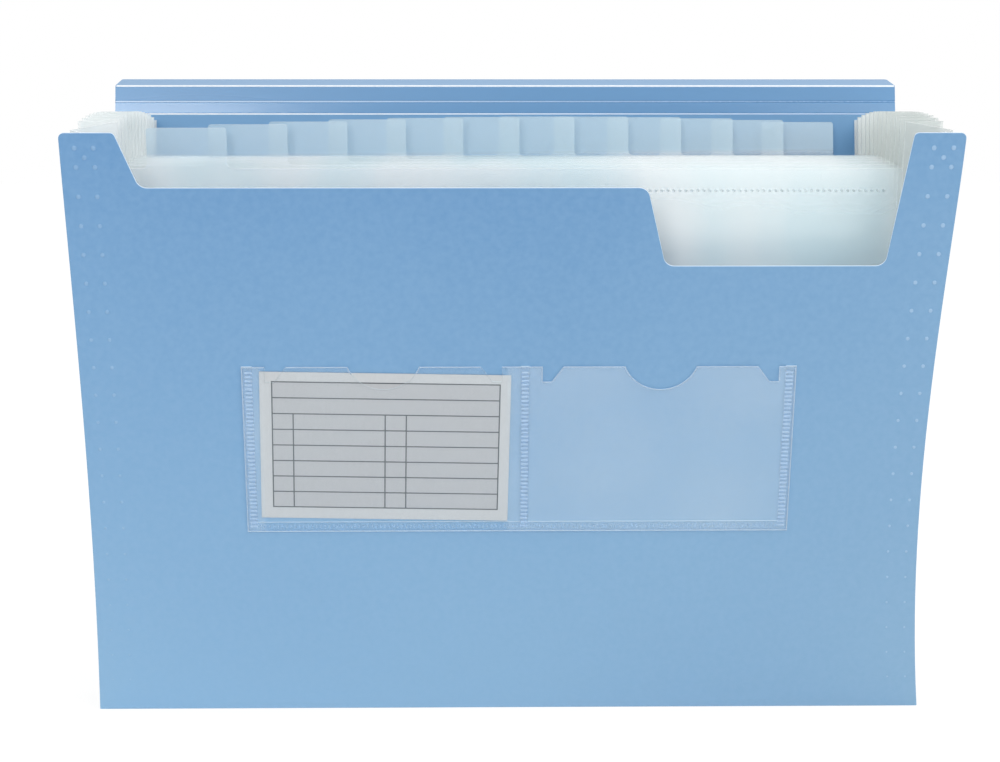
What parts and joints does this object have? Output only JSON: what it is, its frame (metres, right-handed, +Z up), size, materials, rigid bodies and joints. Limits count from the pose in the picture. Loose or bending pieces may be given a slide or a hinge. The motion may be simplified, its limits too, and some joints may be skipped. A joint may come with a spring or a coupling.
{
  "type": "accordion file folder",
  "caption": "Expanding accordion file in blue plastic, open as a fan, with tabbed milky dividers, pleated sides, a creased flap and a clear card sleeve.",
  "frame": {"origin": "on the floor under the middle of the whole file", "axes": "+X to the right seen from the front, front panel towards -Y, +Z up"},
  "size_m": [0.33, 0.1638, 0.2524],
  "materials": {
    "cover_blue": "fine grained",
    "back_blue": "smooth glossy",
    "divider_milky": "milky translucent",
    "pleat_milky": "milky translucent",
    "sleeve_clear": "clear film",
    "card_paper": "uncoated"
  },
  "bodies": {
    "front_panel": {"front_panel": "cover_blue", "card_sleeve": "sleeve_clear", "gusset_left_01": "pleat_milky", "gusset_right_01": "pleat_milky", "bottom_web_01": "pleat_milky"},
    "divider_01": {"divider_01": "divider_milky", "gusset_left_02": "pleat_milky", "gusset_right_02": "pleat_milky", "bottom_web_02": "pleat_milky"},
    "divider_02": {"divider_02": "divider_milky", "gusset_left_03": "pleat_milky", "gusset_right_03": "pleat_milky", "bottom_web_03": "pleat_milky"},
    "divider_03": {"divider_03": "divider_milky", "gusset_left_04": "pleat_milky", "gusset_right_04": "pleat_milky", "bottom_web_04": "pleat_milky"},
    "divider_04": {"divider_04": "divider_milky", "gusset_left_05": "pleat_milky", "gusset_right_05": "pleat_milky", "bottom_web_05": "pleat_milky"},
    "divider_05": {"divider_05": "divider_milky", "gusset_left_06": "pleat_milky", "gusset_right_06": "pleat_milky", "bottom_web_06": "pleat_milky"},
    "divider_06": {"divider_06": "divider_milky", "gusset_left_07": "pleat_milky", "gusset_right_07": "pleat_milky", "bottom_web_07": "pleat_milky"},
    "divider_07": {"divider_07": "divider_milky", "gusset_left_08": "pleat_milky", "gusset_right_08": "pleat_milky", "bottom_web_08": "pleat_milky"},
    "divider_08": {"divider_08": "divider_milky"},
    "divider_09": {"divider_09": "divider_milky", "gusset_left_09": "pleat_milky", "gusset_right_09": "pleat_milky", "bottom_web_09": "pleat_milky"},
    "divider_10": {"divider_10": "divider_milky", "gusset_left_10": "pleat_milky", "gusset_right_10": "pleat_milky", "bottom_web_10": "pleat_milky"},
    "divider_11": {"divider_11": "divider_milky", "gusset_left_11": "pleat_milky", "gusset_right_11": "pleat_milky", "bottom_web_11": "pleat_milky"},
    "divider_12": {"divider_12": "divider_milky", "gusset_left_12": "pleat_milky", "gusset_right_12": "pleat_milky", "bottom_web_12": "pleat_milky"},
    "back_panel": {"back_panel": "back_blue", "gusset_left_13": "pleat_milky", "gusset_right_13": "pleat_milky", "bottom_web_13": "pleat_milky"},
    "hinge_strip_lower": {"hinge_strip_lower": "back_blue"},
    "hinge_strip_upper": {"hinge_strip_upper": "back_blue"},
    "spine_strip": {"spine_strip": "back_blue"},
    "cover_flap": {"cover_flap": "back_blue"},
    "index_card": {"index_card": "card_paper"}
  },
  "joints": [
    {"name": "fan_01", "type": "hinge", "parent": "divider_01", "child": "front_panel", "pos_m": [0, -0.01215, 0.00025], "axis": [1, 0, 0], "range_deg": [-6, 2], "deforming": ["gusset_left_01", "gusset_right_01", "bottom_web_01"]},
    {"name": "fan_02", "type": "hinge", "parent": "divider_02", "child": "divider_01", "pos_m": [0, -0.00985, 0.00025], "axis": [1, 0, 0], "range_deg": [-1.72, 5], "deforming": ["gusset_left_02", "gusset_right_02", "bottom_web_02"]},
    {"name": "fan_03", "type": "hinge", "parent": "divider_03", "child": "divider_02", "pos_m": [0, -0.00755, 0.00025], "axis": [1, 0, 0], "range_deg": [-1.72, 5], "deforming": ["gusset_left_03", "gusset_right_03", "bottom_web_03"]},
    {"name": "fan_04", "type": "hinge", "parent": "divider_04", "child": "divider_03", "pos_m": [0, -0.00525, 0.00025], "axis": [1, 0, 0], "range_deg": [-1.72, 5], "deforming": ["gusset_left_04", "gusset_right_04", "bottom_web_04"]},
    {"name": "fan_05", "type": "hinge", "parent": "divider_05", "child": "divider_04", "pos_m": [0, -0.00295, 0.00025], "axis": [1, 0, 0], "range_deg": [-1.72, 5], "deforming": ["gusset_left_05", "gusset_right_05", "bottom_web_05"]},
    {"name": "fan_06", "type": "hinge", "parent": "divider_06", "child": "divider_05", "pos_m": [0, -0.00065, 0.00025], "axis": [1, 0, 0], "range_deg": [-1.72, 5], "deforming": ["gusset_left_06", "gusset_right_06", "bottom_web_06"]},
    {"name": "fan_07", "type": "hinge", "parent": "divider_07", "child": "divider_06", "pos_m": [0, 0.00165, 0.00025], "axis": [1, 0, 0], "range_deg": [-1.72, 5], "deforming": ["gusset_left_07", "gusset_right_07", "bottom_web_07"]},
    {"name": "fan_08", "type": "hinge", "parent": "divider_08", "child": "divider_07", "pos_m": [0, 0.00395, 0.00025], "axis": [1, 0, 0], "range_deg": [-1.72, 5], "deforming": ["gusset_left_08", "gusset_right_08", "bottom_web_08"]},
    {"name": "fan_09", "type": "hinge", "parent": "divider_08", "child": "divider_09", "pos_m": [0, 0.00625, 0.00025], "axis": [-1, 0, 0], "range_deg": [-1.72, 5], "deforming": ["gusset_left_09", "gusset_right_09", "bottom_web_09"]},
    {"name": "fan_10", "type": "hinge", "parent": "divider_09", "child": "divider_10", "pos_m": [0, 0.00855, 0.00025], "axis": [-1, 0, 0], "range_deg": [-1.72, 5], "deforming": ["gusset_left_10", "gusset_right_10", "bottom_web_10"]},
    {"name": "fan_11", "type": "hinge", "parent": "divider_10", "child": "divider_11", "pos_m": [0, 0.01085, 0.00025], "axis": [-1, 0, 0], "range_deg": [-1.72, 5], "deforming": ["gusset_left_11", "gusset_right_11", "bottom_web_11"]},
    {"name": "fan_12", "type": "hinge", "parent": "divider_11", "child": "divider_12", "pos_m": [0, 0.01315, 0.00025], "axis": [-1, 0, 0], "range_deg": [-1.72, 5], "deforming": ["gusset_left_12", "gusset_right_12", "bottom_web_12"]},
    {"name": "fan_13", "type": "hinge", "parent": "divider_12", "child": "back_panel", "pos_m": [0, 0.01545, 0.00025], "axis": [-1, 0, 0], "range_deg": [-1.72, 5], "deforming": ["gusset_left_13", "gusset_right_13", "bottom_web_13"]},
    {"name": "crease_lower", "type": "hinge", "parent": "back_panel", "child": "hinge_strip_lower", "pos_m": [0, 0.05953, 0.23765], "axis": [1, 0, 0], "range_deg": [0, 45]},
    {"name": "crease_middle", "type": "hinge", "parent": "hinge_strip_lower", "child": "hinge_strip_upper", "pos_m": [0, 0.06048, 0.24287], "axis": [1, 0, 0], "range_deg": [0, 45]},
    {"name": "crease_spine", "type": "hinge", "parent": "hinge_strip_upper", "child": "spine_strip", "pos_m": [0, 0.06165, 0.24936], "axis": [1, 0, 0], "range_deg": [-18, 72]},
    {"name": "crease_flap", "type": "hinge", "parent": "spine_strip", "child": "cover_flap", "pos_m": [0, 0.08147, 0.25206], "axis": [1, 0, 0], "range_deg": [0, 98]},
    {"name": "card_slide", "type": "slide", "parent": "front_panel", "child": "index_card", "axis": [0, -0.2823, 0.9593], "range_m": [0, 0.06]}
  ],
  "couplings": [
    {"joint": "fan_02", "follows": "fan_08", "ratio": 1},
    {"joint": "fan_03", "follows": "fan_08", "ratio": 1},
    {"joint": "fan_04", "follows": "fan_08", "ratio": 1},
    {"joint": "fan_05", "follows": "fan_08", "ratio": 1},
    {"joint": "fan_06", "follows": "fan_08", "ratio": 1},
    {"joint": "fan_07", "follows": "fan_08", "ratio": 1},
    {"joint": "fan_09", "follows": "fan_08", "ratio": 1},
    {"joint": "fan_10", "follows": "fan_08", "ratio": 1},
    {"joint": "fan_11", "follows": "fan_08", "ratio": 1},
    {"joint": "fan_12", "follows": "fan_08", "ratio": 1},
    {"joint": "fan_13", "follows": "fan_08", "ratio": 1}
  ]
}
